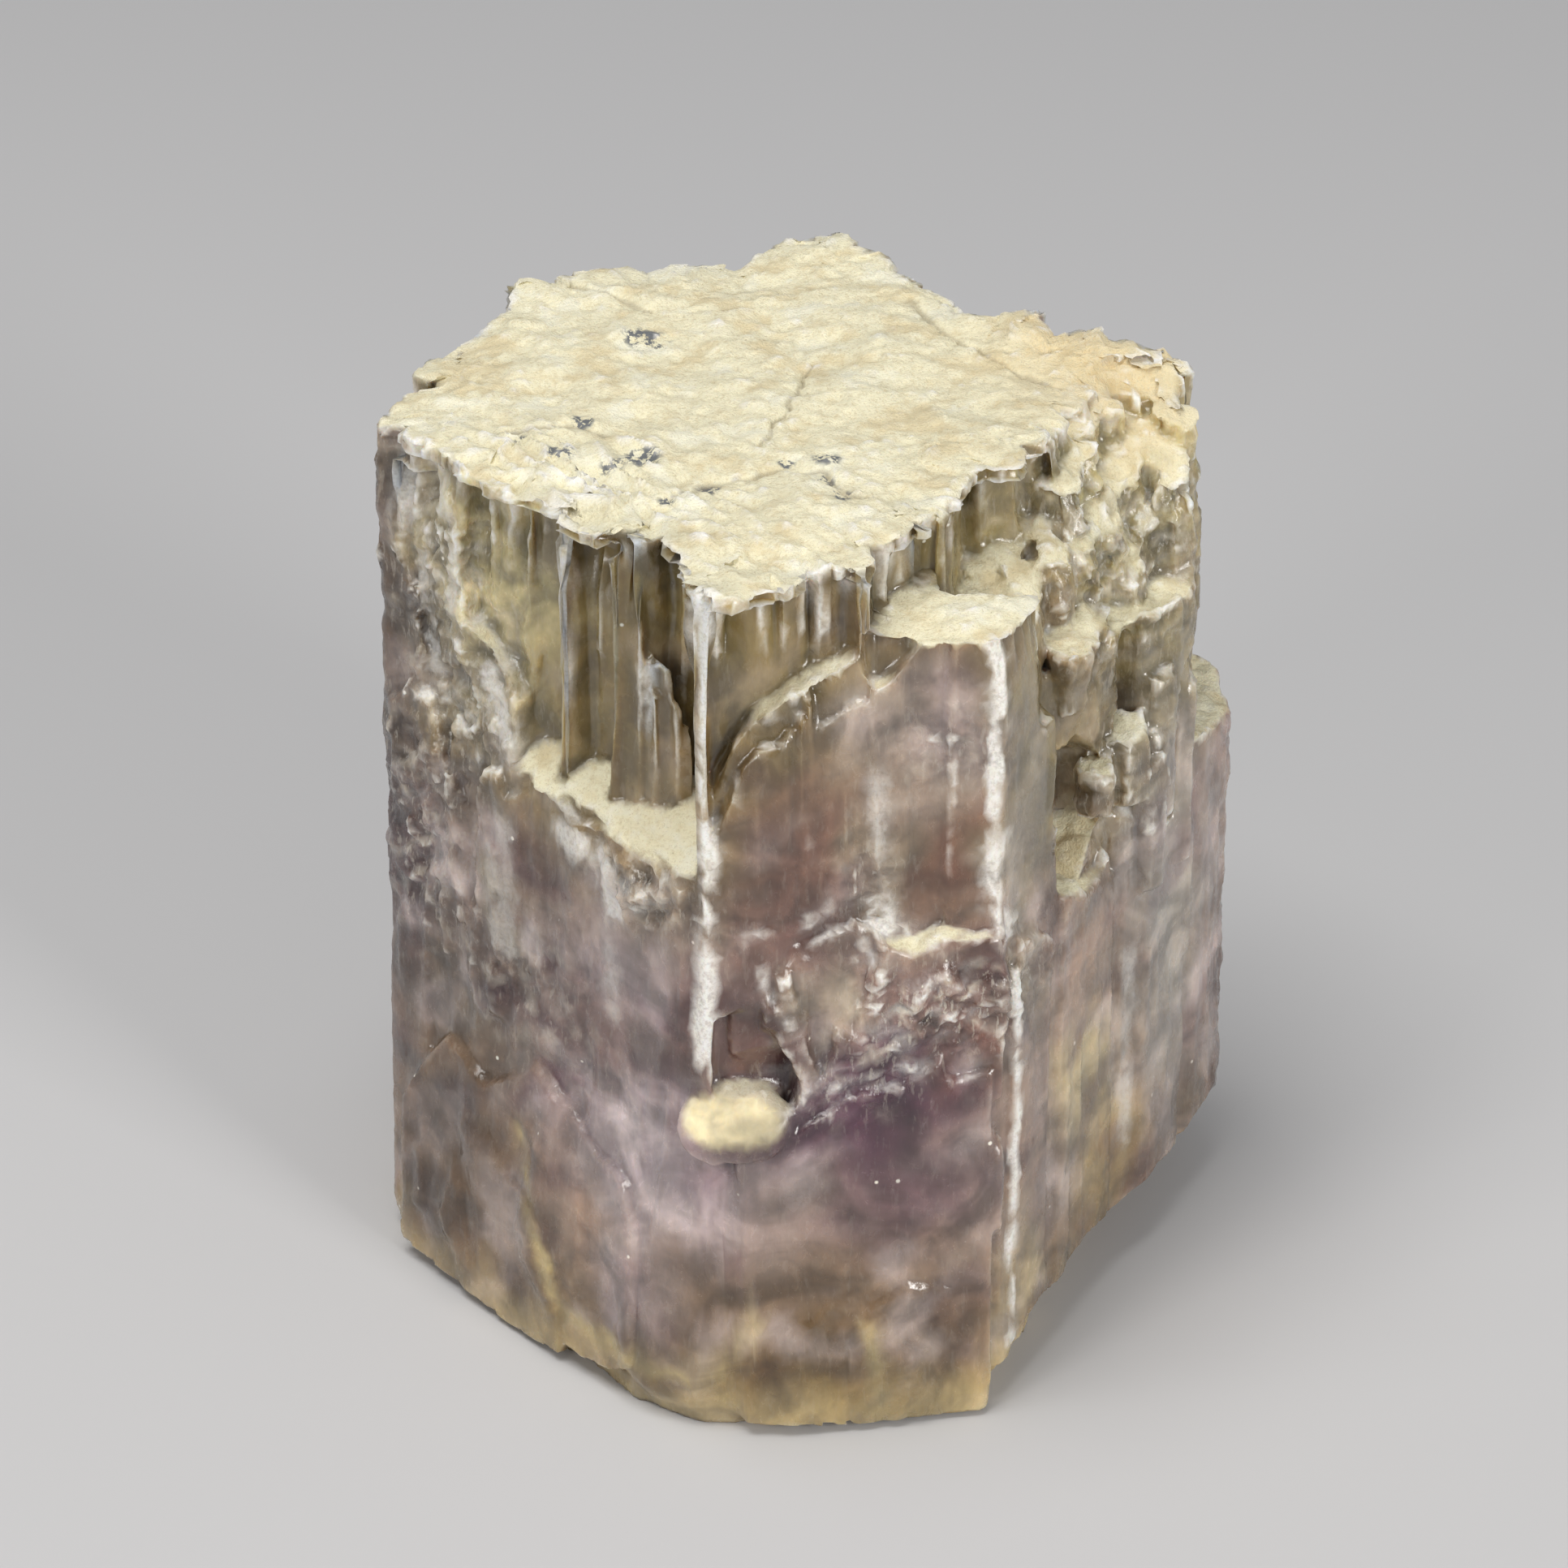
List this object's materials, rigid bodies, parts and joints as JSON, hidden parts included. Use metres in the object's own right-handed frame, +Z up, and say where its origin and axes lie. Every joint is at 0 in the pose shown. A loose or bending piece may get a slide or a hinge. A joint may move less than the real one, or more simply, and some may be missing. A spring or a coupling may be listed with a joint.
{
  "type": "aragonite crystal",
  "caption": "Stout six-sided twinned crystal of parallel columns with a ragged flat top, ledges and notches, standing on its broken foot as a display stone",
  "frame": {"origin": "bottom centre of the bounding box, on the flat foot that the crystal stands on", "axes": "+Z up along the columns (the c axis), +X to the right and -Y towards the viewer of the picture"},
  "size_m": [0.0292, 0.0284, 0.0321],
  "materials": {
    "aragonite": "glassy faces with frosted edges and a dull granular crust on the ends and ledges"
  },
  "bodies": {
    "root": {"aragonite_crystal": "aragonite"}
  },
  "joints": []
}
